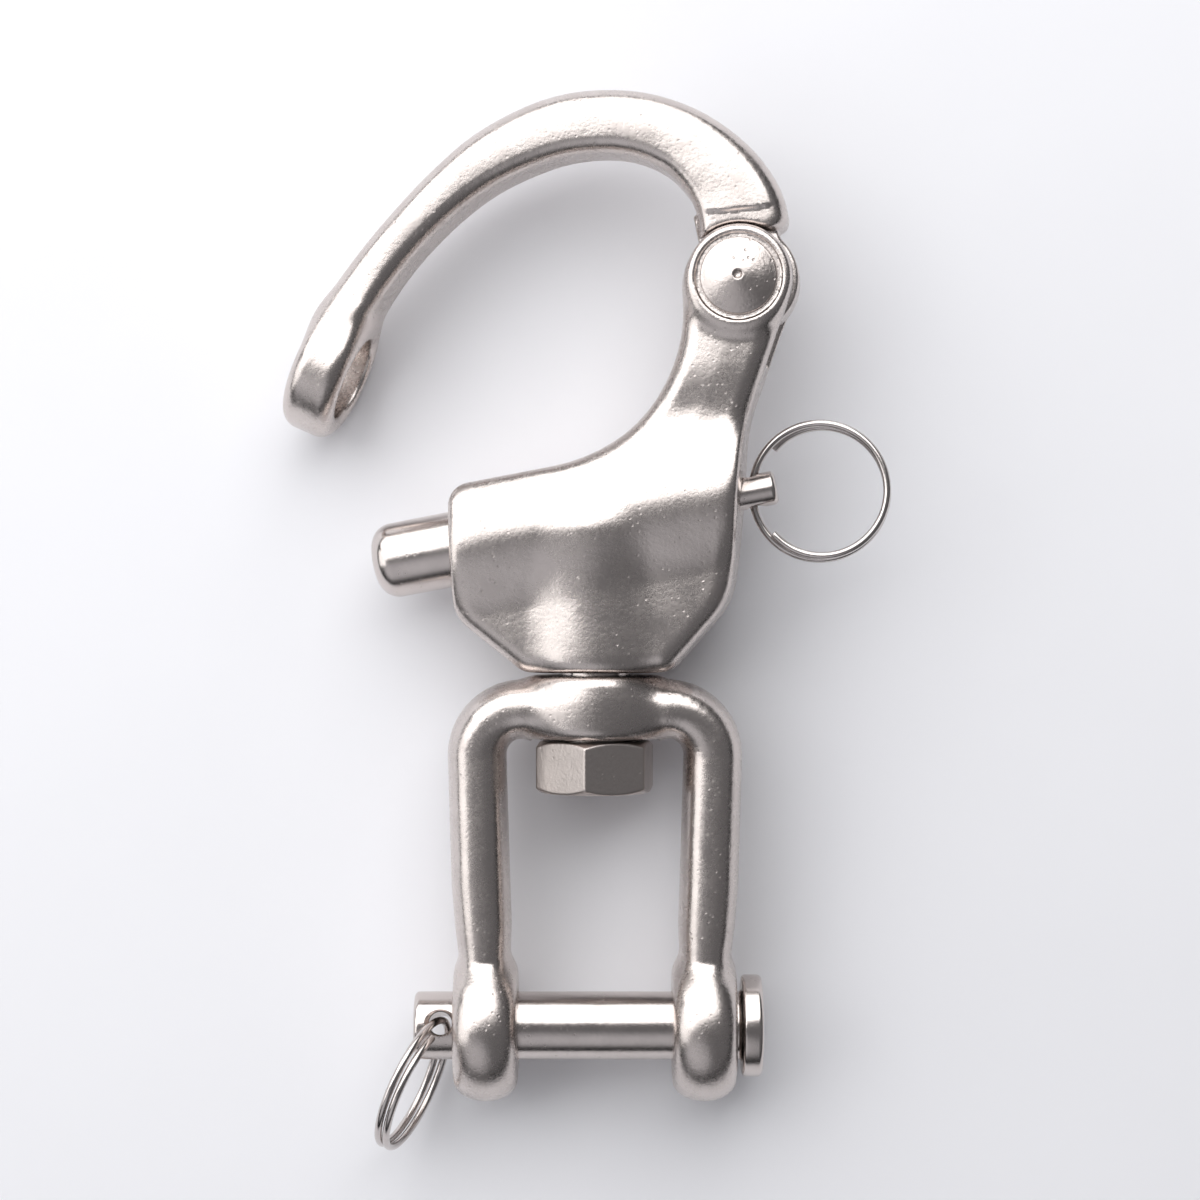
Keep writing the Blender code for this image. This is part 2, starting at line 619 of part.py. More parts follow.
def bow(roll):
    hinge = empty("bow_hinge", PIVOT, None, roll)
    shift = Matrix.Translation(-PIVOT * MM)
    # share of the way to the eye, distance outwards, width, depth
    middle_line = [(-0.030, 4.8, 10.5, BOW_DEPTH), (-0.032, 8.4, 10.4, BOW_DEPTH),
                   (0.0, 13.0, 9.3, BOW_DEPTH), (0.075, 17.7, 8.2, BOW_DEPTH),
                   (0.19, 21.0, 7.7, BOW_DEPTH), (0.34, 22.2, 7.5, BOW_DEPTH),
                   (0.50, 20.8, 6.9, BOW_DEPTH), (0.63, 17.9, 6.1, BOW_DEPTH),
                   (0.76, 13.6, 5.7, BOW_DEPTH), (0.86, 9.4, 5.8, BOW_DEPTH * 1.03),
                   (0.93, 5.6, 6.0, BOW_DEPTH * 1.2), (1.0, 0.0, 6.0, BOW_DEPTH * 1.2)]
    stations = [(*bow_point(s, h).xy, w, d) for s, h, w, d in middle_line]
    arm = lofted("bow", smooth_run(stations, 3), 3.4, 16, hinge)

    hole_axis = Matrix.Rotation(radians(BOW_EYE_FACE_TILT - BOW_OPEN), 3, "Z") @ Vector((1, 0, 0))
    centre = bow_point(1.0, 0)
    eye = bow_eye("bow_eye", centre, hole_axis, hinge)
    up = Vector((0, 0, 1))
    ears = EAR_RADIUS + BOW_EAR_CLEARANCE
    ear_room = turned("bow_ear_room", [(0, -20), (ears, -20), (ears, 20), (0, 20)], PIVOT, up, 40, hinge)
    low = BOW_DEPTH / 2 - BOW_STEP
    steps = [turned(f"bow_step_{side}", [(0, z), (BOW_STEP_RADIUS, z), (BOW_STEP_RADIUS, z + 8), (0, z + 8)],
                    PIVOT, up, 40, hinge)
             for side, z in (("top", low), ("under", -low - 8))]
    half = SLOT_WIDTH / 2 - GAP
    tongue = turned("bow_tongue", [(0, -half), (TONGUE_RADIUS, -half), (TONGUE_RADIUS, half), (0, half)],
                    PIVOT, up, 32, hinge)
    root = slab("bow_root", [tuple(bow_point(s, h).xy) for s, h in
                             ((-0.10, 0.5), (-0.115, 8.5), (0.07, 8.5), (0.09, 0.5))],
                2 * half, hinge)
    combine(tongue, "UNION", root)
    combine(arm, "DIFFERENCE", ear_room, *steps)
    combine(arm, "UNION", eye, tongue)

    hole = PLUNGER_DIAMETER / 2 + BOW_EYE_RUNNING_FIT
    eye_bore = turned("bow_eye_bore", [(0, -10), (hole, -10), (hole, 10), (0, 10)], centre, hole_axis, 32, hinge)
    shank = RIVET_DIAMETER / 2 + GAP
    rivet_bore = turned("bow_rivet_bore", [(0, -10), (shank, -10), (shank, 10), (0, 10)], PIVOT, up, 24, hinge)
    combine(arm, "DIFFERENCE", eye_bore, rivet_bore)
    finish(arm)
    for piece in hinge.children_recursive:
        piece.data.transform(shift)


def bow_eye(name, centre, axis, parent):
    """The disc round the plunger's hole, a little longer along the bow than it is deep."""
    side = Vector((-axis.y, axis.x, 0))
    half = BOW_EYE_THICKNESS / 2

    def fill(form):
        rings = [[centre - axis * half]]
        for share, along in ((0.84, -1), (0.94, -0.9), (1, -0.62), (1, 0.62), (0.94, 0.9), (0.84, 1)):
            rings.append([centre + axis * (half * along)
                          + side * (BOW_EYE_HALF_LENGTH * share * cos(a))
                          + Vector((0, 0, BOW_EYE_HALF_DEPTH * share * sin(a)))
                          for a in (2 * pi * i / 32 for i in range(32))])
        skin_rings(form, rings + [[centre + axis * half]])

    return object_of(name, fill, parent)


# ---------------------------------------------------------------- plunger, spring and pull ring

def plunger(roll):
    slide = empty("plunger_slide", BARREL, Matrix.Rotation(TILT, 4, "Z"), roll)
    out = Vector((1, 0, 0))
    start = Vector((0, 0, 0))
    radius = PLUNGER_DIAMETER / 2
    tip = -(MOUTH_AT + PLUNGER_REACH)
    rounding = PLUNGER_NOSE_ROUNDING
    profile = [(0, tip - 0.25)]
    for i in range(5):
        a = pi / 2 * i / 4
        profile.append((radius - rounding + rounding * sin(a), tip + rounding * (1 - cos(a))))
    tail = TAIL_DIAMETER / 2
    end = TAIL_FACE_AT + TAIL_PAST_FACE
    profile += [(radius, PLUNGER_SHOULDER_AT), (tail, PLUNGER_SHOULDER_AT), (tail, end - 0.5),
                (tail - 0.5, end), (0, end)]
    pin = turned("plunger", profile, start, out, 28, slide)
    hole = TAIL_HOLE_DIAMETER / 2
    cross = turned("plunger_cross_hole", [(0, -5), (hole, -5), (hole, 5), (0, 5)],
                   Vector((TAIL_HOLE_AT, 0, 0)), Vector((0, 1, 0)), 16, slide)
    combine(pin, "DIFFERENCE", cross)
    finish(pin, roughness=0.24)

    flat = Matrix.Rotation(pi / 2, 4, "X")
    sag = Matrix.Rotation(-radians(PULL_RING_SAG), 4, "Y")
    swing = empty("pull_ring_swing", Vector((TAIL_HOLE_AT, 0, 0)), flat @ sag, slide)
    split_ring("pull_ring", swing, -hole_bow(tail))


def plunger_spring(roll):
    """A compression spring round the plunger's tail, from its shoulder to the end of the bore."""
    wire_radius = SPRING_WIRE / 2
    first = PLUNGER_SHOULDER_AT + GAP + wire_radius
    last = TAIL_FACE_AT - BORE_END_WALL - GAP - wire_radius
    steps = SPRING_COILS * 12
    points = []
    for i in range(steps + 1):
        share = i / steps
        angle = 2 * pi * SPRING_COILS * share
        across = SPRING_DIAMETER / 2
        points.append(BARREL + ALONG_BARREL * (first + (last - first) * share)
                      + ACROSS_BARREL * (across * cos(angle)) + Vector((0, 0, across * sin(angle))))
    spring = wire("plunger_spring", points, wire_radius, 6, ALONG_BARREL, roll)
    finish(spring, STEEL_DARK, 0.3)


# ---------------------------------------------------------------- the shackle

clear_scene()
on_table = empty("on_table", Vector((0, 0, 0)), Matrix.Rotation(radians(LIE_PITCH), 4, "X"))
jaw_swivel = jaw(on_table)
pin_spin = clevis_pin(jaw_swivel)
clevis_ring(pin_spin)
body_roll = empty("body_roll", Vector((0, 0, 0)), Matrix.Rotation(radians(BODY_ROLL), 4, "Y"), on_table)
body(body_roll)
swivel_stud(body_roll)
swivel_nut(body_roll)
pivot_rivet(body_roll)
bow(body_roll)
plunger(body_roll)
plunger_spring(body_roll)
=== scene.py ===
"""Swivel snap shackle with a jaw end, in cast and turned stainless steel.

The castings are modelled as the foundry makes them: soft-edged shapes that run into one another,
with the machined bores, slot and seats cut into them afterwards. Sizes are in millimetres, and each
piece is built in the frame of the body or of the jaw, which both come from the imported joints.
"""

import json
from math import atan2, cos, degrees, pi, radians, sin, sqrt, tan

import bmesh
import bpy
import numpy as np
from mathutils import Matrix, Vector


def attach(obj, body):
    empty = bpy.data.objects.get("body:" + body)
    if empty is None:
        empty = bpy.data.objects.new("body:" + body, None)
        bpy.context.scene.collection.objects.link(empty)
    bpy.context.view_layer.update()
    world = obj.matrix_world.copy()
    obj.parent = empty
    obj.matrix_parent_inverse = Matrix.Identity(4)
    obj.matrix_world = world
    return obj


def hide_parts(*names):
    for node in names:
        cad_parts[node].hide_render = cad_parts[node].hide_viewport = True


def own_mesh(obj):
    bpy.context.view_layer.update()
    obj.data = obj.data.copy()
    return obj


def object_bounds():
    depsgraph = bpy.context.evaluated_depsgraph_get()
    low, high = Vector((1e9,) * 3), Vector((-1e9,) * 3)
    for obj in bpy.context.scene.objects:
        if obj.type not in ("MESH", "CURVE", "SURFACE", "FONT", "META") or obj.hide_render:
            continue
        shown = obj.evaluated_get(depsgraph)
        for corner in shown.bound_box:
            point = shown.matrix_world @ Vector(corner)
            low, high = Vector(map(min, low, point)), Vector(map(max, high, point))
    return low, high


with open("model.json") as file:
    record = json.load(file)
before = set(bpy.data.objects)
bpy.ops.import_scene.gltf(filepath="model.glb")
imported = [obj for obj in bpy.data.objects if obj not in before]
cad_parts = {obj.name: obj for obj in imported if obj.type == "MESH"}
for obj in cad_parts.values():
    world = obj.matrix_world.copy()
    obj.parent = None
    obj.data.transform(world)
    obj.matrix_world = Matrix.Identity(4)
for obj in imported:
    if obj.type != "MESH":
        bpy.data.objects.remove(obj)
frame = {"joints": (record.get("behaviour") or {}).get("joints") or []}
cad_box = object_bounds()


# ---------------------------------------------------------------- how it lies
# The body is turned on its swivel and the whole shackle rests on the rims of three eyes, so neither
# lies square to the table. The axes of the hinge and of the swivel give both frames.

MM = 0.001
joints = {joint["name"]: joint for joint in frame["joints"]}
swivel_axis = Vector(joints["fork_swivel"]["axis"])
hinge_axis = Vector(joints["bow_hinge"]["axis"])
pin_axis = Vector(joints["clevis_pin_spin"]["axis"])


def frame_of(y_axis, z_axis):
    """The turn from a piece's own axes to the table's."""
    return Matrix((y_axis.cross(z_axis), y_axis, z_axis)).transposed().to_4x4()


body_frame = frame_of(swivel_axis, hinge_axis)
jaw_frame = frame_of(swivel_axis, pin_axis.cross(swivel_axis))
pivot = body_frame.inverted() @ Vector(joints["bow_hinge"]["pos_m"]) / MM
slide_axis = body_frame.inverted() @ Vector(joints["plunger_slide"]["axis"])
barrel_tilt = atan2(slide_axis.y, slide_axis.x)
tail_hole = body_frame.inverted() @ Vector(joints["pull_ring_swing"]["pos_m"]) / MM


# ---------------------------------------------------------------- body
# Investment casting in 316 stainless, tumbled and polished: a plate with soft edges, the barrel for
# the plunger running across it, a ridge down to the swivel, and a neck with two ears for the rivet.
# The bores, the slot and the rivet's seats are machined afterwards, so their edges are crisper.

body_foot = 42.0
body_depth = 11.6
body_edge = 2.3
ear_depth = 13.0
ear_radius = 6.25
slot_width = 6.0
slot_reach = 10.4
barrel_radius = 7.3
mouth_at = 16.9
mouth_lean = radians(2.5)
tail_face_at = 18.15
swivel_boss_radius = 6.9
plunger_bore = 4.8
plunger_bore_run = (-25.0, 15.0)  # along the barrel, from outside the mouth to the back wall
tail_bore = 2.3
rivet_bore = 2.8
rivet_seat_radius = 5.1
rivet_seat_depth = 0.2
stud_bore = 4.3
stud_depth = 8.7
barrel_fillet = 3.4
swivel_boss_fillet = 3.0
ear_fillet = 1.8
body_crown = 0.35  # the faces rise this much towards their middle
body_waist = 0.35  # and the neck is this much thinner on each side
neck_from = 6.0  # above the barrel's middle
neck_to = 10.0  # below the pivot
barrel_y = tail_hole.y - tail_hole.x * tan(barrel_tilt)
nowhere = 80  # added to a distance where a cut doesn't reach


def merge(first, second, blend):
    """Two solids run together, with a fillet about this wide."""
    share = np.clip(0.5 + 0.5 * (second - first) / blend, 0, 1)
    return second + (first - second) * share - blend * share * (1 - share)


def cut(solid, away, blend):
    """The first solid with the second taken away, and the edge eased."""
    return -merge(-solid, away, blend)


def within(first, second, blend):
    """Only what is in both solids, and the edge eased."""
    return -merge(-first, -second, blend)


def thickened(plan, height, half, edge):
    """A flat shape given a thickness and rounded edges."""
    out, over = plan + edge, np.abs(height) - half + edge
    return np.minimum(np.maximum(out, over), 0) + np.hypot(np.maximum(out, 0), np.maximum(over, 0)) - edge


def filleted(corners):
    """Points round a closed outline whose (x, y, radius) corners are rounded to their radius."""
    points = []
    for i, (x, y, radius) in enumerate(corners):
        here = Vector((x, y))
        back = (Vector(corners[i - 1][:2]) - here).normalized()
        ahead = (Vector(corners[(i + 1) % len(corners)][:2]) - here).normalized()
        turn = pi - back.angle(ahead)
        if radius == 0 or turn < radians(1):
            points.append((x, y))
            continue
        centre = here + (back + ahead).normalized() * (radius / cos(turn / 2))
        start = here + back * (radius * tan(turn / 2)) - centre
        way = 1 if back.x * ahead.y - back.y * ahead.x < 0 else -1
        steps = max(2, round(degrees(turn) / 6))
        for k in range(steps + 1):
            a = atan2(start.y, start.x) + way * turn * k / steps
            points.append((centre.x + radius * cos(a), centre.y + radius * sin(a)))
    return points


def distance_to(outline, x, y):
    """How far each place is outside a closed outline, less than 0 inside it."""
    x, y = np.broadcast_arrays(x, y)
    nearest = np.full(x.shape, 1e9)
    inside = np.zeros(x.shape, bool)
    for (ax, ay), (bx, by) in zip(outline, outline[1:] + outline[:1]):
        dx, dy = bx - ax, by - ay
        share = np.clip(((x - ax) * dx + (y - ay) * dy) / (dx * dx + dy * dy), 0, 1)
        nearest = np.minimum(nearest, (x - ax - share * dx) ** 2 + (y - ay - share * dy) ** 2)
        if dy:
            inside ^= ((ay > y) != (by > y)) & (x < ax + (y - ay) * dx / dy)
    return np.where(inside, -1, 1) * np.sqrt(nearest)


def skin(name, solid, low, high, step, place):
    """The closed mesh where solid(x, y, z) is 0, built on a grid and then moved onto the true surface."""
    counts = [int(np.ceil((b - a) / step)) + 1 for a, b in zip(low, high)]
    x, y, z = (a + step * np.arange(n) for a, n in zip(low, counts))
    values = np.broadcast_to(solid(x[:, None, None], y[None, :, None], z[None, None, :]), counts)
    inside = values < 0
    corners = np.array([(i, j, k) for i in (0, 1) for j in (0, 1) for k in (0, 1)])
    filled = np.zeros([n - 1 for n in counts], np.int8)
    for i, j, k in corners:
        filled += inside[i:counts[0] - 1 + i, j:counts[1] - 1 + j, k:counts[2] - 1 + k]
    cells = np.argwhere((filled > 0) & (filled < len(corners)))
    number = np.full(filled.shape, -1)
    number[tuple(cells.T)] = np.arange(len(cells))

    middle, crossings = np.zeros((len(cells), 3)), np.zeros(len(cells))
    faces = []
    for axis in range(3):
        ahead = np.eye(3, dtype=int)[axis]
        for near in corners[corners[:, axis] == 0]:
            first = values[tuple((cells + near).T)]
            second = values[tuple((cells + near + ahead).T)]
            crossed = (first < 0) != (second < 0)
            share = np.where(crossed, first / np.where(crossed, first - second, 1), 0)
            middle += (cells + near + share[:, None] * ahead) * crossed[:, None]
            crossings += crossed
        left = np.take(inside, range(counts[axis] - 1), axis)
        right = np.take(inside, range(1, counts[axis]), axis)
        edges = np.argwhere(left != right)
        b, c = np.eye(3, dtype=int)[(axis + 1) % 3], np.eye(3, dtype=int)[(axis + 2) % 3]
        ring = [number[tuple((edges - offset).T)] for offset in (b + c, c, 0 * b, b)]
        quads = np.stack(ring, 1)
        faces.append(np.where(left[tuple(edges.T)][:, None], quads, quads[:, ::-1]))

    points = np.array(low) + step * middle / crossings[:, None]
    reach = step / 4
    for _ in range(4):
        slope = np.stack([(solid(*(points + e).T) - solid(*(points - e).T)) / (2 * reach)
                          for e in np.eye(3) * reach], 1)
        move = solid(*points.T) / np.maximum((slope ** 2).sum(1), 0.1)
        points -= np.clip(move[:, None] * slope, -step / 2, step / 2)

    mesh = bpy.data.meshes.new(name)
    faces = np.concatenate(faces)
    mesh.from_pydata((points * MM).tolist(), [], faces.tolist())
    mesh.transform(place)
    mesh.shade_smooth()
    made = bpy.data.objects.new(name, mesh)
    bpy.context.scene.collection.objects.link(made)
    return made


def body_plan():
    mouth = Vector((0, barrel_y)) - Vector((cos(barrel_tilt), sin(barrel_tilt))) * mouth_at
    right = tail_face_at * cos(barrel_tilt)

    def face(rise):
        return mouth.x - rise * sin(mouth_lean), mouth.y + rise * cos(mouth_lean)

    corners = [(-8.2, body_foot, 2.6), (9.2, body_foot, 2.6), (right - 1.2, body_foot + 8.6, 9.0),
               (right + 0.15, barrel_y + 10.4, 14.0)]
    for i in range(33):
        a = radians(-19 + 169 * i / 32)
        corners.append((pivot.x + ear_radius * cos(a), pivot.y + ear_radius * sin(a), 0))
    for a, more in ((170, 0.35), (186, 0.65)):
        corners.append((pivot.x + (ear_radius + more) * cos(radians(a)),
                        pivot.y + (ear_radius + more) * sin(radians(a)), 4.0))
    corners += [(pivot.x - ear_radius - 0.1, barrel_y + 9.4, 18.5), (*face(7.3), 2.6), (*face(-8.4), 4.2)]
    return filleted(corners)


plan_of_body = body_plan()


def body_solid(x, y, z):
    plan = distance_to(plan_of_body, x, y)
    along = x * cos(barrel_tilt) + (y - barrel_y) * sin(barrel_tilt)
    across = (y - barrel_y) * cos(barrel_tilt) - x * sin(barrel_tilt)
    from_pivot = np.hypot(x - pivot.x, y - pivot.y)

    rise = np.clip((y - barrel_y - neck_from) / (pivot.y - neck_to - barrel_y - neck_from), 0, 1)
    crown = body_crown * (1 - np.exp(np.minimum(plan, 0) / 5))
    waist = body_waist * np.exp(-((rise - 0.55) / 0.25) ** 2)
    half = body_depth / 2 - 0.15 + crown - waist
    solid = thickened(plan, z, half, body_edge)
    barrel = within(np.hypot(across, z) - barrel_radius, plan + 0.15, 1.6)
    boss = thickened(np.hypot(x, z) - swivel_boss_radius, y - (body_foot + barrel_y) / 2,
                     (barrel_y - body_foot) / 2, 1.3)
    ears = thickened(from_pivot - ear_radius + 0.05, z, ear_depth / 2, 0.9)
    solid = merge(solid, barrel, barrel_fillet)
    solid = merge(solid, boss, swivel_boss_fillet)
    solid = merge(solid, ears, ear_fillet)
    solid = within(solid, plan, 0.5)

    start, end = plunger_bore_run
    bore = thickened(np.hypot(across, z) - plunger_bore, along - (start + end) / 2, (end - start) / 2, 0.3)
    solid = cut(solid, bore, 0.5)
    solid = cut(solid, np.hypot(across, z) - tail_bore + nowhere * (along < 0), 0.3)
    solid = cut(solid, thickened(from_pivot - slot_reach, z, slot_width / 2, 0.2), 0.4)
    solid = cut(solid, from_pivot - rivet_bore, 0.2)
    seat = ear_depth / 2 - rivet_seat_depth
    solid = cut(solid, np.maximum(from_pivot - rivet_seat_radius, seat - np.abs(z)), 0.25)
    return cut(solid, np.maximum(np.hypot(x, z) - stud_bore, y - body_foot - stud_depth), 0.3)


body = skin("body_casting", body_solid, (-20, 40.5, -8.5), (26, 96, 8.5), 0.27, body_frame)
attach(body, "body")
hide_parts("body")


class Reading:
    """A number or colour in a shader. Arithmetic on numbers adds the Math nodes."""

    def __init__(self, shader, socket):
        self.shader, self.socket = shader, socket

    def maths(self, operation, first, second):
        return self.shader.node("ShaderNodeMath", {"operation": operation}, **{"0": first, "1": second})

    def __add__(self, other):
        return self.maths("ADD", self, other)

    def __mul__(self, other):
        return self.maths("MULTIPLY", self, other)

    def __sub__(self, other):
        return self.maths("SUBTRACT", self, other)

    def __rsub__(self, other):
        return self.maths("SUBTRACT", other, self)

    __radd__, __rmul__ = __add__, __mul__


class Shader:
    """A material or a world, and one way to add any node to it."""

    def __init__(self, name, world=None):
        self.material = world or bpy.data.materials.new(name)
        self.material.use_nodes = True
        self.tree = self.material.node_tree
        self.surface = self.tree.nodes["Background" if world else "Principled BSDF"]

    def set(self, node, sockets):
        for key, value in sockets.items():
            socket = node.inputs[int(key) if key.isdigit() else key]
            if isinstance(value, Reading):
                self.tree.links.new(value.socket, socket)
            else:
                socket.default_value = value

    def node(self, kind, settings=None, output=0, **sockets):
        made = self.tree.nodes.new(kind)
        for key, value in (settings or {}).items():
            setattr(made, key, value)
        self.set(made, {key.replace("_", " "): value for key, value in sockets.items()})
        return Reading(self, made.outputs[output])


def stainless(name, colour, shade, roughness, grain, pits, swell, per_mm=1.0):
    """Stainless steel: two greys, a grained and pitted surface, and slow waves from polishing."""
    shader = Shader(name)
    place = shader.node("ShaderNodeTexCoord", output="Object")
    scale = per_mm / MM
    fine = shader.node("ShaderNodeTexNoise", Vector=place, Scale=2.6 * scale, Detail=3.0, Roughness=0.6)
    patch = shader.node("ShaderNodeTexNoise", Vector=place, Scale=0.32 * scale, Detail=3.0)
    wave = shader.node("ShaderNodeTexNoise", Vector=place, Scale=0.11 * scale, Detail=1.0)
    cell = shader.node("ShaderNodeTexVoronoi", Vector=place, Scale=1.25 * scale)
    pit = shader.node("ShaderNodeMapRange", {"interpolation_type": "SMOOTHSTEP"}, Value=cell,
                      From_Min=0.10, From_Max=0.26, To_Min=1.0, To_Max=0.0)
    some = shader.node("ShaderNodeMapRange", Value=patch, From_Min=0.47, From_Max=0.62)
    pit = pit * some
    dull = shader.node("ShaderNodeMapRange", Value=patch, From_Min=0.3, From_Max=0.7)
    tone = shader.node("ShaderNodeMix", {"data_type": "RGBA"}, output=2,
                       **{"0": dull * 0.6 + pit * 0.4, "6": (*colour, 1), "7": (*shade, 1)})
    height = fine * grain - pit * pits + patch * (swell * 0.35) + wave * swell
    bump = shader.node("ShaderNodeBump", Height=height, Distance=MM, Strength=1.0)
    shader.set(shader.surface, {
        "Base Color": tone,
        "Metallic": 1.0,
        "Roughness": (fine - 0.5) * 0.12 + (patch - 0.5) * 0.14 + pit * 0.12 + roughness,
        "Normal": bump})
    return shader.material


cast_steel = stainless("tumbled_casting", (0.68, 0.62, 0.59), (0.58, 0.525, 0.50), 0.27,
                       grain=0.018, pits=0.022, swell=0.16)
body.data.materials.append(cast_steel)


# ---------------------------------------------------------------- bow
# The hook that opens: an investment casting like the body. A thin tongue turns between the ears, the
# arm swells out of it to a flat-faced bar, and the bar thins towards a ring that the plunger enters.

bow_reach = 50.4
bow_angle = radians(191.3)
bow_depth = 9.6
bow_edge_outside = 2.5
bow_edge_inside = 1.7
bow_crown = 0.3
bow_skin = 0.06
bow_clear_of_ears = 6.55
bow_step = 0.3
bow_step_rise = 8.0
bow_step_slope = 0.09
bow_step_reach = 14.0
tongue_radius = 6.4
tongue_offset = 0.4
tongue_width = 5.4
tongue_root_along = (-5.4, 4.0)
tongue_root_outwards = (0.5, 8.5)
bow_eye_turn = radians(4.3 - 28.5)
bow_eye_half = Vector((8.1, 7.6))
bow_eye_thickness = 6.4
bow_eye_bore = 5.1
bow_eye_fillet = 2.6
bow_eye_rim = 1.9
# share of the way to the eye, distance outwards, width, depth
bow_stations = [(-0.030, 4.8, 10.5, 9.6), (-0.032, 8.4, 10.4, 9.6), (0.0, 13.0, 9.3, 9.6),
                (0.075, 17.7, 8.2, 9.6), (0.19, 21.0, 7.7, 9.6), (0.34, 22.2, 7.5, 9.6),
                (0.50, 20.8, 6.9, 9.6), (0.63, 17.9, 6.1, 9.6), (0.76, 13.6, 5.7, 9.6),
                (0.86, 9.4, 5.8, 9.9), (0.93, 5.6, 6.0, 11.0), (1.0, 0.0, 6.0, 11.5)]


def smooth_run(points, steps):
    """Points on a Catmull-Rom curve through the given ones, steps between each pair."""
    points = [np.array(p, float) for p in points]
    points = [2 * points[0] - points[1]] + points + [2 * points[-1] - points[-2]]
    run = []
    for a, b, c, d in zip(points, points[1:], points[2:], points[3:]):
        for t in (k / steps for k in range(steps)):
            run.append(0.5 * (2 * b + (c - a) * t + (2 * a - 5 * b + 4 * c - d) * t ** 2
                              + (3 * b - a - 3 * c + d) * t ** 3))
    return np.array(run + [points[-2]])


def beside(run, x, y):
    """For each place, how far along a run its nearest point is, counted in points, and its distance
    from it, positive on the left."""
    x, y = np.broadcast_arrays(x, y)
    nearest, at, side = np.full(x.shape, 1e9), np.zeros(x.shape), np.ones(x.shape)
    for i, (a, b) in enumerate(zip(run, run[1:])):
        dx, dy = b[0] - a[0], b[1] - a[1]
        share = np.clip(((x - a[0]) * dx + (y - a[1]) * dy) / (dx * dx + dy * dy), 0, 1)
        gap = (x - a[0] - share * dx) ** 2 + (y - a[1] - share * dy) ** 2
        closer = gap < nearest
        nearest = np.where(closer, gap, nearest)
        at = np.where(closer, i + share, at)
        side = np.where(closer, np.sign(dx * (y - a[1]) - dy * (x - a[0])), side)
    return at, side * np.sqrt(nearest)


bow_run = smooth_run([(s * bow_reach, o, w, d) for s, o, w, d in bow_stations], 5)


def bow_solid(x, y, z):
    dx, dy = x - pivot.x, y - pivot.y
    along = dx * cos(bow_angle) + dy * sin(bow_angle)
    outwards = dx * sin(bow_angle) - dy * cos(bow_angle)
    from_pivot = np.hypot(dx, dy)
    at, side = beside(bow_run, along, outwards)
    width = np.interp(at, range(len(bow_run)), bow_run[:, 2])
    depth = np.interp(at, range(len(bow_run)), bow_run[:, 3])
    edge_difference = np.clip(side, -1, 1) * (bow_edge_outside - bow_edge_inside) / 2
    edge = (bow_edge_outside + bow_edge_inside) / 2 + edge_difference
    drop = np.clip(bow_crown * (side / (width / 2)) ** 2, 0, bow_crown)
    arm = thickened(np.abs(side) - width / 2 + bow_skin, z, depth / 2 - drop, edge)
    arm = within(arm, bow_run[0, 1] - outwards, 1.6)

    clear = np.maximum(bow_clear_of_ears - from_pivot, -20)
    arm = within(arm, clear, 0.5)
    low = bow_depth / 2 - bow_step
    lower = np.maximum(dy - bow_step_rise - bow_step_slope * dx, from_pivot - bow_step_reach)
    arm = cut(arm, np.maximum(lower, low - np.abs(z)), 0.25)
    tongue = thickened(np.hypot(dx - tongue_offset, dy) - tongue_radius, z, tongue_width / 2, 0.4)
    (start, end), (near, far) = tongue_root_along, tongue_root_outwards
    root = np.maximum(np.maximum(start - along, along - end), np.maximum(near - outwards, outwards - far))
    root = thickened(root, z, tongue_width / 2, 0.3)
    arm = merge(arm, merge(tongue, root, 0.5), 0.3)

    out_x, out_y = along - bow_reach, outwards
    turn = bow_eye_turn - bow_angle
    through = out_x * cos(turn) - out_y * sin(turn)
    about = out_x * sin(turn) + out_y * cos(turn)
    radius = np.hypot(about / bow_eye_half.x, z / bow_eye_half.y)
    eye = thickened((radius - 1) * bow_eye_half.y, through, bow_eye_thickness / 2, bow_eye_rim)
    solid = merge(arm, eye, bow_eye_fillet)
    solid = cut(solid, np.hypot(about, z) - bow_eye_bore, 0.7)
    return cut(solid, from_pivot - rivet_bore, 0.2)


bow = skin("bow_casting", bow_solid, (-41, 66, -8.5), (26, 112.5, 8.5), 0.27, body_frame)
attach(bow, "bow")
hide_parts("bow")
bow.data.materials.append(cast_steel)


# ---------------------------------------------------------------- rivet
# Turned stainless rivet that the bow swings on, closed over both ears by a punch, which leaves a
# domed head with a small dimple in its middle. Machined, then tumbled with the rest.

rivet_shank = 2.5
rivet_head = 4.5
rivet_rise = 1.69
rivet_gap = 0.2


def turned(name, profile, place, sides=112):
    """A turned piece: a closed (radius, height) outline with rounded corners, spun round its Z axis."""
    outline = [p for p in filleted(profile) if p[0] > 1e-6]
    mesh = bpy.data.meshes.new(name)
    form = bmesh.new()
    rings = [[form.verts.new((r * MM * cos(2 * pi * i / sides), r * MM * sin(2 * pi * i / sides), h * MM))
              for i in range(sides)] for r, h in outline]
    for first, second in zip(rings, rings[1:]):
        for i in range(sides):
            j = (i + 1) % sides
            form.faces.new((first[i], first[j], second[j], second[i]))
    for ring, (radius, height) in ((rings[0], outline[0]), (rings[-1], outline[-1])):
        middle = form.verts.new((0, 0, height * MM))
        for i in range(sides):
            form.faces.new((ring[i], ring[(i + 1) % sides], middle))
    bmesh.ops.recalc_face_normals(form, faces=form.faces)
    form.to_mesh(mesh)
    form.free()
    mesh.transform(place)
    mesh.shade_smooth()
    mesh.set_sharp_from_angle(angle=radians(38))
    made = bpy.data.objects.new(name, mesh)
    bpy.context.scene.collection.objects.link(made)
    return made


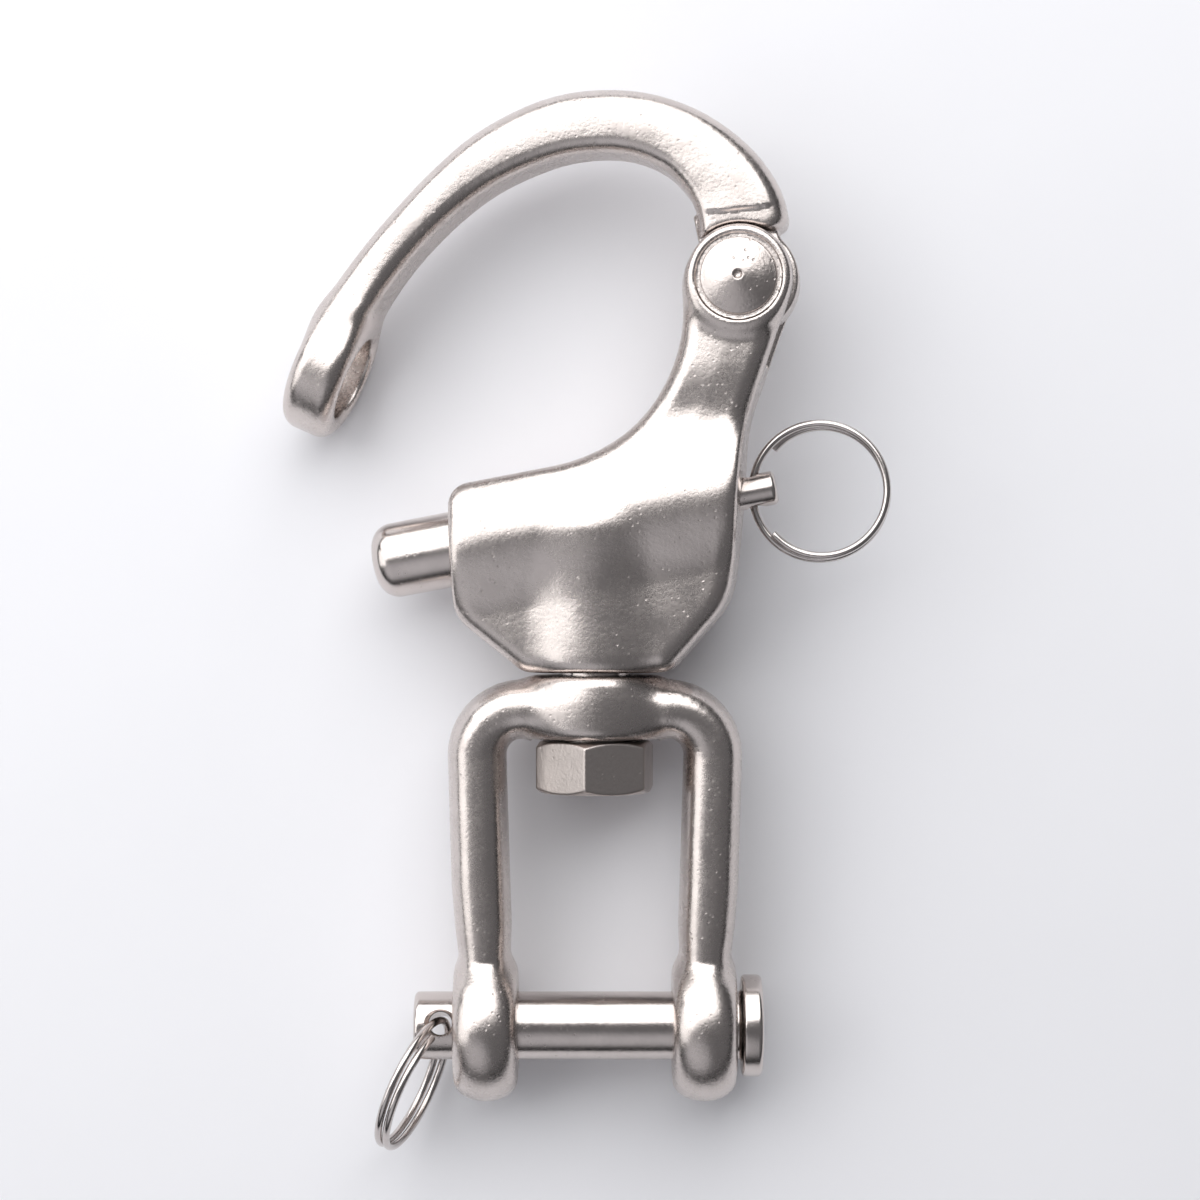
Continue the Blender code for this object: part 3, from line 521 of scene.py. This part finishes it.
def rivet_profile():
    seat = ear_depth / 2 - rivet_seat_depth + rivet_gap
    head = [(rivet_shank, seat, 0.1), (rivet_head, seat, 0.1), (rivet_head, seat + 0.35, 0.3)]
    for share in (0.93, 0.84, 0.72, 0.58, 0.45, 0.3):
        dome = 1 - share ** 2 + 0.10 * (1 - min(share / 0.5, 1) ** 2) ** 2
        head.append((rivet_head * share, seat + 0.3 + (rivet_rise - 0.42) * dome, 1.0))
    head += [(0.62, seat + rivet_rise - 0.02, 0.25), (0.28, seat + rivet_rise - 0.34, 0.2),
             (0.02, seat + rivet_rise - 0.38, 0)]
    return [(r, -h, c) for r, h, c in reversed(head)] + head


rivet = turned("rivet", rivet_profile(), body_frame @ Matrix.Translation(pivot * MM))
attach(rivet, "body")
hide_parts("pivot_rivet")
rivet.data.materials.append(stainless("peened", (0.66, 0.60, 0.57), (0.54, 0.485, 0.46), 0.30,
                                      grain=0.045, pits=0.05, swell=0.25))
turned_steel = stainless("turned_and_polished", (0.69, 0.63, 0.60), (0.61, 0.555, 0.53), 0.20,
                         grain=0.006, pits=0.006, swell=0.04)


# ---------------------------------------------------------------- plunger
# Turned stainless pin that locks the bow: a stout nose with a rounded end, and a thin tail through
# the back of the barrel, cross drilled for the pull ring. Its end is faced and lightly domed.

plunger_radius = 4.5
plunger_tip = -26.9
plunger_nose_round = 2.5
plunger_shoulder = -3.0
tail_radius = 2.0
tail_end = tail_face_at + 3.8
tail_hole_radius = 1.1
tail_hole_sink = 0.25


def along_x(at):
    """A turned piece's Z axis laid along X, from this place."""
    return Matrix.Translation(Vector(at) * MM) @ Matrix.Rotation(pi / 2, 4, "Y")


def drilled(piece, place, radius, sunk, reach, flare, edge, sides):
    """Cuts a hole right through a piece, open from sunk outwards by a countersink at each end."""
    drill = turned("drill", [(0, -reach, 0), (radius + flare, -reach, 0), (radius, -sunk, edge),
                             (radius, sunk, edge), (radius + flare, reach, 0), (0, reach, 0)], place, sides)
    cutting = piece.modifiers.new("drilled", "BOOLEAN")
    cutting.operation, cutting.solver, cutting.object = "DIFFERENCE", "EXACT", drill
    view = bpy.context.evaluated_depsgraph_get()
    mesh = bpy.data.meshes.new_from_object(piece.evaluated_get(view))
    piece.modifiers.clear()
    piece.data = mesh
    mesh.shade_smooth()
    mesh.set_sharp_from_angle(angle=radians(38))
    bpy.data.objects.remove(drill)


barrel_frame = body_frame @ Matrix.Translation((0, barrel_y * MM, 0)) @ Matrix.Rotation(barrel_tilt, 4, "Z")
plunger = turned("plunger", [
    (0, plunger_tip - 0.2, 0), (plunger_radius - plunger_nose_round, plunger_tip, 3.0),
    (plunger_radius - 0.05, plunger_tip, plunger_nose_round), (plunger_radius, plunger_shoulder, 0.3),
    (tail_radius, plunger_shoulder, 0.2), (tail_radius, tail_end, 0.6), (0, tail_end, 0)],
    barrel_frame @ along_x((0, 0, 0)))
tail_hole_along = (tail_hole.xy - Vector((0, barrel_y))).length
hole_frame = barrel_frame @ Matrix.Translation(tail_hole_along * MM * Vector((1, 0, 0)))
drilled(plunger, hole_frame @ Matrix.Rotation(pi / 2, 4, "X"), tail_hole_radius,
        sunk=tail_radius - tail_hole_sink, reach=4, flare=1.2, edge=0.3, sides=32)
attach(plunger, "plunger")
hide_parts("plunger")
plunger.data.materials.append(turned_steel)


# ---------------------------------------------------------------- spring
# Compression spring of stainless wire round the plunger's tail, with its ends closed and ground. It
# presses on the plunger's shoulder and on the end of the bore.

spring_wire = 0.45
spring_mean = 3.4
spring_coils = 8
spring_gap = 0.3
back_wall = 3.2
spring_room = (plunger_shoulder + spring_gap, tail_face_at - back_wall - spring_gap)
per_turn = 24


def wire(name, points, radius, around, place, sides=14):
    """Round wire along a run that winds round an axis, with its cut ends a little rounded."""
    around = Vector(around)
    points = [Vector(p) for p in points]
    sections = []
    for i, point in enumerate(points):
        heading = (points[min(i + 1, len(points) - 1)] - points[max(i - 1, 0)]).normalized()
        first = around.cross(heading).normalized()
        sections.append((point, heading, first, heading.cross(first), radius))
    for end, way in ((0, -1), (-1, 1)):
        point, heading, first, second, _ = sections[end]
        cap = [(point + heading * way * radius * out, heading, first, second, radius * share)
               for out, share in ((0.14, 0.97), (0.24, 0.86), (0.3, 0.6))]
        sections = cap[::-1] + sections if way < 0 else sections + cap
    mesh = bpy.data.meshes.new(name)
    form = bmesh.new()
    rings = []
    for point, _, first, second, size in sections:
        rings.append([form.verts.new((point + (first * cos(a) + second * sin(a)) * size) * MM)
                      for a in (2 * pi * k / sides for k in range(sides))])
    for one, two in zip(rings, rings[1:]):
        for i in range(sides):
            j = (i + 1) % sides
            form.faces.new((one[i], one[j], two[j], two[i]))
    form.faces.new(rings[0])
    form.faces.new(rings[-1])
    bmesh.ops.recalc_face_normals(form, faces=form.faces)
    form.to_mesh(mesh)
    form.free()
    mesh.transform(place)
    mesh.shade_smooth()
    made = bpy.data.objects.new(name, mesh)
    bpy.context.scene.collection.objects.link(made)
    return made


def spring_points():
    """The pitch closes up over the last turn at each end."""
    first, last = spring_room[0] + spring_wire, spring_room[1] - spring_wire
    for i in range(spring_coils * per_turn + 1):
        turn = i / per_turn
        share = turn / spring_coils
        eased = share - 0.05 * sin(2 * pi * share)
        around = 2 * pi * turn
        yield (first + (last - first) * eased, spring_mean * cos(around), spring_mean * sin(around))


spring = wire("spring", spring_points(), spring_wire, (1, 0, 0), barrel_frame, 10)
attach(spring, "body")
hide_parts("plunger_spring")
spring_length = spring_room[1] - spring_room[0]
travel = joints["plunger_slide"]["range_m"][1] / MM
(spring_length - travel) / spring_length
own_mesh(spring)
drawn_wire = stainless("drawn_wire", (0.68, 0.63, 0.61), (0.54, 0.50, 0.48), 0.17,
                       grain=0.003, pits=0.0, swell=0.01, per_mm=1.6)
spring.data.materials.append(drawn_wire)


# ---------------------------------------------------------------- split rings
# Two key rings of stainless wire, one through the plunger's tail and one through the clevis pin. The
# wire goes round almost twice, and both ends tuck in against the turn beside them.

ring_outside = 17.1
ring_wire = 0.45
ring_turns = 1.76
ring_pitch = 0.98
ring_tuck = 0.6


def ring_points(in_hole):
    """Round the Y axis, passing through the hole at the frame's origin."""
    radius = ring_outside / 2 - ring_wire - 0.1
    steps = round(72 * ring_turns)
    for i in range(steps + 1):
        share = 2 * i / steps - 1
        r = radius - ring_tuck * abs(share) ** 3
        a = pi + share * ring_turns * pi
        yield (r * cos(a) + radius - in_hole, share * ring_turns / 2 * ring_pitch, r * sin(a))


def bow_in_hole(half_length):
    """How far the curved wire sits off the middle of a straight hole, so that it clears both ends."""
    radius = ring_outside / 2 - ring_wire
    return (radius - sqrt(radius ** 2 - half_length ** 2)) / 2


pull_frame = hole_frame @ Matrix.Rotation(pi / 2, 4, "X") @ Matrix.Rotation(-barrel_tilt, 4, "Y")
pull_ring = wire("pull_ring", ring_points(bow_in_hole(tail_radius)), ring_wire, (0, 1, 0), pull_frame)
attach(pull_ring, "pull_ring")
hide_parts("pull_ring")

pin_roll = -radians(13)
ring_lean = radians(10)
ring_side = radians(180 + 65)
pin_hole_at = Vector(joints["clevis_ring_swing"]["pos_m"])
pin_frame = jaw_frame @ Matrix.Rotation(pin_roll, 4, "X")
clevis_ring_frame = (pin_frame @ Matrix.Translation(pin_hole_at)
                     @ Matrix.Rotation(ring_side, 4, "Z") @ Matrix.Rotation(ring_lean, 4, "X"))
clevis_ring = wire("clevis_ring", ring_points(bow_in_hole(4.0)), ring_wire, (0, 1, 0), clevis_ring_frame)
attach(clevis_ring, "clevis_ring")
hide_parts("clevis_ring")
for ring in (pull_ring, clevis_ring):
    ring.data.materials.append(drawn_wire)


# ---------------------------------------------------------------- jaw
# Investment casting: a round crown that the swivel stud passes through, two legs of a round-cornered
# section that bend down from it, and an eye on each with a fully rounded rim. The pin's holes are
# drilled through both eyes at once.

jaw_opening = 18.4
eye_width = 7.5
eye_radius = 8.9
eye_flat = 6.45
eye_scale = 2.9  # turns a share of the rim back into a distance
leg_width = 6.95
leg_depth = 10.4
leg_splay = 1.05
crown_underside = 34.2
crown_height = 7.5
crown_corner = 5.4
boss_radius = 7.55
crown_flat_half = 7.5
jaw_eye_fillet = 1.0
jaw_boss_fillet = 2.2
leg_squareness = 2.5  # 2 would be an ellipse
pin_bore = 4.25
eye_x = (jaw_opening + eye_width) / 2


def jaw_run():
    """The middle line of the right half: x, y, width, depth from the eye to the middle of the crown."""
    outer, top = eye_x + leg_splay, crown_underside + leg_width / 2
    run = [(eye_x, 4.4, 5.9, 10.2), (eye_x + 0.1, 7.6, 6.0, 10.3), (eye_x + 0.3, 12.0, 6.7, leg_depth),
           (eye_x + 0.6, 17.0, leg_width, leg_depth), (outer, top - crown_corner, leg_width, leg_depth)]
    for a in range(10, 91, 10):
        run.append((outer - crown_corner + crown_corner * cos(radians(a)),
                    top - crown_corner + crown_corner * sin(radians(a)),
                    leg_width, leg_depth * (1 + 0.12 * a / 90)))
    return np.array(run + [(0, top, leg_width, leg_depth * 1.15)])


run_of_jaw = jaw_run()


def jaw_solid(x, y, z):
    x = np.abs(x)
    at, side = beside(run_of_jaw, x, y)
    width = np.interp(at, range(len(run_of_jaw)), run_of_jaw[:, 2])
    depth = np.interp(at, range(len(run_of_jaw)), run_of_jaw[:, 3])
    section = np.abs(side / (width / 2)) ** leg_squareness + np.abs(z / (depth / 2)) ** leg_squareness
    section = section ** (1 / leg_squareness)
    leg = (section - 1) * width / 2
    rim = np.maximum(np.hypot(y, z) - eye_flat, 0) / (eye_radius - eye_flat)
    eye = (np.hypot(rim, (x - eye_x) / (eye_width / 2)) - 1) * eye_scale
    above_middle = y - crown_underside - crown_height / 2
    boss = thickened(np.hypot(x, z) - boss_radius, above_middle, crown_height / 2, 1.3)
    solid = merge(merge(leg, eye, jaw_eye_fillet), boss, jaw_boss_fillet)
    solid = within(solid, y - crown_underside - crown_height, 0.4)
    solid = np.maximum(solid, crown_underside - y - nowhere * (x > crown_flat_half))
    solid = cut(solid, np.hypot(y, z) - pin_bore, 0.4)
    return cut(solid, np.hypot(x, z) - stud_bore + nowhere * (y < crown_underside / 2), 0.4)


jaw = skin("jaw_casting", jaw_solid, (-18.5, -10, -10), (18.5, 43, 10), 0.27, jaw_frame)
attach(jaw, "fork")
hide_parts("fork")
jaw.data.materials.append(cast_steel)


# ---------------------------------------------------------------- clevis pin
# Turned from bar: a thin flat head, a shank that runs through both eyes, and a cross hole with a
# countersink at each end for the split ring. The corners are broken and the whole is polished.

pin_radius = 4.0
pin_under_head = jaw_opening / 2 + eye_width + 0.7
pin_head_radius = 6.0
pin_head = 2.4
pin_tail = -(jaw_opening / 2 + eye_width + 4.7)
cross_hole = 1.35
cross_hole_sink = 0.6

pin = turned("clevis_pin", [
    (0, pin_tail, 0), (pin_radius, pin_tail, 0.6), (pin_radius, pin_under_head, 0.5),
    (pin_head_radius, pin_under_head, 0.45), (pin_head_radius, pin_under_head + pin_head, 0.6),
    (0, pin_under_head + pin_head, 0)], pin_frame @ along_x((0, 0, 0)))
drilled(pin, pin_frame @ Matrix.Translation(pin_hole_at), cross_hole,
        sunk=pin_radius - cross_hole_sink, reach=6, flare=2.4, edge=0.4, sides=40)
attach(pin, "clevis_pin")
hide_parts("clevis_pin")
pin.data.materials.append(turned_steel)


# ---------------------------------------------------------------- swivel stud and nut
# The jaw turns on a stud that is fixed in the body and held by a plain hexagon nut inside the jaw.
# The nut is cold formed, chamfered at both ends and left dull and finely pitted.

stud_radius = 4.0
nut_flats = 13.0
nut_height = 6.2
nut_cone_radius = 6.35  # of the chamfer, at each end
nut_cone_slope = 1.73
nut_sink = 0.75
nut_turn = radians(57.5)
nut_high = crown_underside - 0.3
stud_low = nut_high - nut_height + 0.2
thread_pitch = 1.25


def stud_profile():
    """The lower end carries a thread, drawn as its grooves."""
    profile = [(0, stud_low, 0), (stud_radius - 0.7, stud_low, 0.05), (stud_radius, stud_low + 0.7, 0.05)]
    at = stud_low + 1.0
    while at < nut_high - 0.6:
        profile += [(stud_radius, at, 0.05), (stud_radius - 0.5, at + thread_pitch * 0.4, 0.05),
                    (stud_radius, at + thread_pitch * 0.8, 0.05)]
        at += thread_pitch
    top = body_foot + stud_depth - 0.3
    return profile + [(stud_radius, top, 0.3), (0, top, 0)]


upright = body_frame @ Matrix.Rotation(-pi / 2, 4, "X")
stud = turned("swivel_stud", stud_profile(), upright)
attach(stud, "body")
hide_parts("swivel_stud")
stud.data.materials.append(turned_steel)


def nut_solid(x, y, z):
    flats = [x * sin(nut_turn + radians(30 + 60 * i)) + z * cos(nut_turn + radians(30 + 60 * i))
             for i in range(6)]
    outline = np.maximum.reduce(np.broadcast_arrays(*flats)) - nut_flats / 2
    for flat in flats:
        outline = within(outline, flat - nut_flats / 2, 0.12)
    middle = nut_high - nut_height / 2
    solid = within(outline, np.abs(y - middle) - nut_height / 2, 0.15)
    from_end = nut_height / 2 - np.abs(y - middle)
    cone = (np.hypot(x, z) - nut_cone_radius - nut_cone_slope * from_end) * 0.5
    solid = within(solid, cone, 0.15)
    bore = np.hypot(x, z) - stud_radius - 0.15
    return cut(solid, bore - np.maximum(nut_sink - from_end, 0), 0.1)


nut = skin("swivel_nut", nut_solid, (-8, 27, -8), (8, 34.6, 8), 0.16, body_frame)
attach(nut, "body")
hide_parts("swivel_nut")
nut.data.materials.append(stainless("dull_nut", (0.62, 0.56, 0.53), (0.48, 0.435, 0.41), 0.34,
                                    grain=0.022, pits=0.02, swell=0.03))


# ---------------------------------------------------------------- table, light and camera
# A pale matt table, a broad soft panel on the far side and a smaller one on the left. The room is dim
# elsewhere, so that polished faces shade from bright to dark. The camera looks almost straight down.

floor_z = cad_box[0].z
table_half = 1.5
corners = [(x * table_half, y * table_half, floor_z) for x, y in ((-1, -1), (1, -1), (1, 1), (-1, 1))]
table_top = bpy.data.meshes.new("table")
table_top.from_pydata(corners, [], [(0, 1, 2, 3)])
table = bpy.data.objects.new("table", table_top)
bpy.context.scene.collection.objects.link(table)
paper = Shader("pale_table")
place = paper.node("ShaderNodeTexCoord", output="Object")
spot = paper.node("ShaderNodeTexNoise", Vector=place, Scale=40.0, Detail=2.0)
tint = paper.node("ShaderNodeMix", {"data_type": "RGBA"}, output=2,
                  **{"0": spot, "6": (0.90, 0.90, 0.93, 1), "7": (0.93, 0.93, 0.96, 1)})
paper.set(paper.surface, {"Base Color": tint, "Roughness": 0.6, "Specular IOR Level": 0.3})
table.data.materials.append(paper.material)


def room_light():
    """A dim room that is darkest overhead and near the horizon, with a lighter patch on the near side."""
    world = bpy.data.worlds.new("soft_room")
    bpy.context.scene.world = world
    world.use_nodes = True
    room = Shader("soft_room", world)
    place = room.node("ShaderNodeTexCoord", output="Generated")
    level = 1
    near_side = ((-0.35, -0.66, 0.66), 0.78, 1.0, 0.24)
    above_horizon = ((0, 0, 1), 0.05, 0.50, 0.05)
    for towards, low, high, least in (near_side, above_horizon):
        facing = room.node("ShaderNodeVectorMath", {"operation": "DOT_PRODUCT"}, output="Value",
                           **{"0": place, "1": towards})
        share = room.node("ShaderNodeMapRange", {"interpolation_type": "SMOOTHSTEP"}, Value=facing,
                          From_Min=low, From_Max=high, To_Min=least)
        level = share * level
    room.set(room.surface, {"Color": (0.60, 0.60, 0.63, 1), "Strength": level})


def softbox(name, at, aim, width, height, brightness):
    """A lit panel of this width and height, facing the place it is aimed at."""
    light = bpy.data.lights.new(name, "AREA")
    light.shape, light.size, light.size_y = "RECTANGLE", width, height
    light.energy = brightness * pi * width * height
    lamp = bpy.data.objects.new(name, light)
    lamp.location = at
    lamp.rotation_euler = (Vector(aim) - Vector(at)).to_track_quat("-Z", "Y").to_euler()
    bpy.context.scene.collection.objects.link(lamp)


room_light()
softbox("key", (-0.15, 0.49, 0.45), (0, 0.10, 0), 1.15, 0.88, 2.3)
softbox("side", (-0.75, 0.05, 0.42), (0, 0.05, 0), 0.6, 0.6, 1.5)

camera_data = bpy.data.cameras.new("camera")
camera_data.sensor_width = 36.0
camera_data.lens = 81.0
camera_at = (0.0006, 0.0506, 0.3213)  # metres from the clevis pin's middle, in the jaw's frame
camera = bpy.data.objects.new("camera", camera_data)
camera.matrix_world = jaw_frame @ Matrix.Translation(camera_at)
bpy.context.scene.collection.objects.link(camera)
bpy.context.scene.camera = camera
bpy.context.scene.view_settings.view_transform = "Standard"
